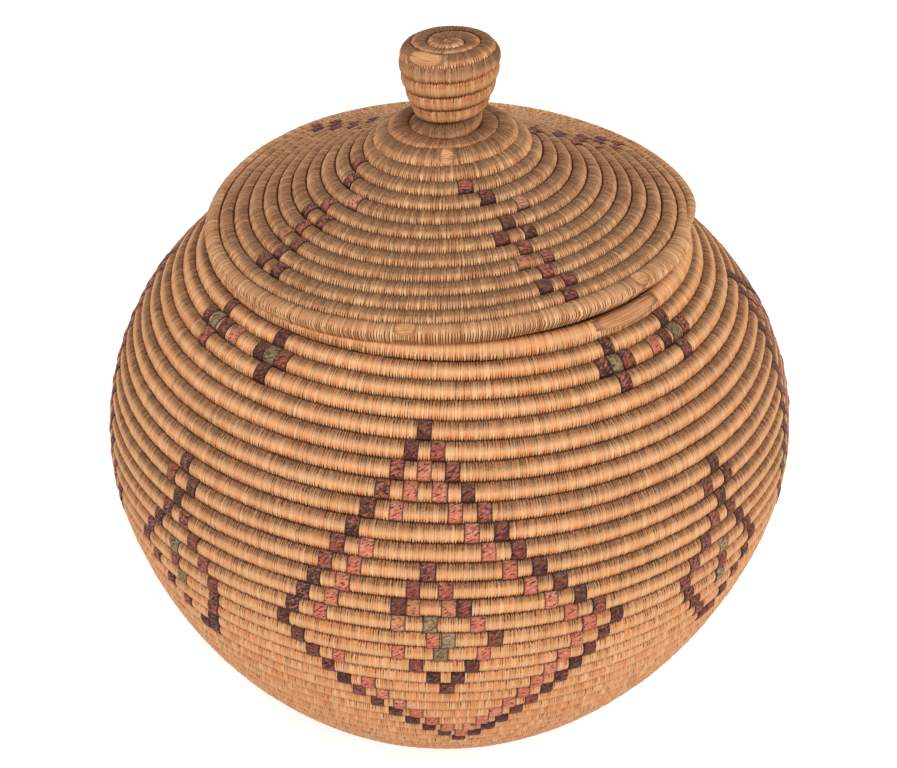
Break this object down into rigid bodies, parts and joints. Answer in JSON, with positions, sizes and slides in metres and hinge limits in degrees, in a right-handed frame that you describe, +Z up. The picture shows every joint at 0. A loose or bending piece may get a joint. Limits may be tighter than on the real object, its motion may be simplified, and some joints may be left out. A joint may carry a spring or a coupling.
{
  "type": "lidded basket",
  "caption": "Round coiled grass basket with a domed belly, a flat base, a knobbed lift-off lid and an inner collar that seats the lid.",
  "frame": {"origin": "centre of the base on the surface it stands on", "axes": "+Z up along the basket's axis, -Y towards the front of the pattern"},
  "size_m": [0.28, 0.28, 0.2911],
  "materials": {
    "base_straw": "matte",
    "body_straw": "satin",
    "lid_straw": "satin",
    "dark_wrap": "satin",
    "pink_wrap": "satin",
    "green_wrap": "satin"
  },
  "bodies": {
    "basket": {"base_coil": "base_straw", "foot_coil": "body_straw", "lower_wall_coil": "body_straw", "belly_coil": "body_straw", "shoulder_coil": "body_straw", "mouth_coil": "body_straw"},
    "lid": {"lid_flange_coil": "lid_straw", "lid_rim_coil": "lid_straw", "lid_coil": "lid_straw", "knob_coil": "lid_straw", "knob_top_coil": "lid_straw"}
  },
  "joints": [
    {"name": "lid_lift", "type": "slide", "parent": "basket", "child": "lid", "axis": [0, 0, 1], "range_m": [0, 0.12]}
  ]
}
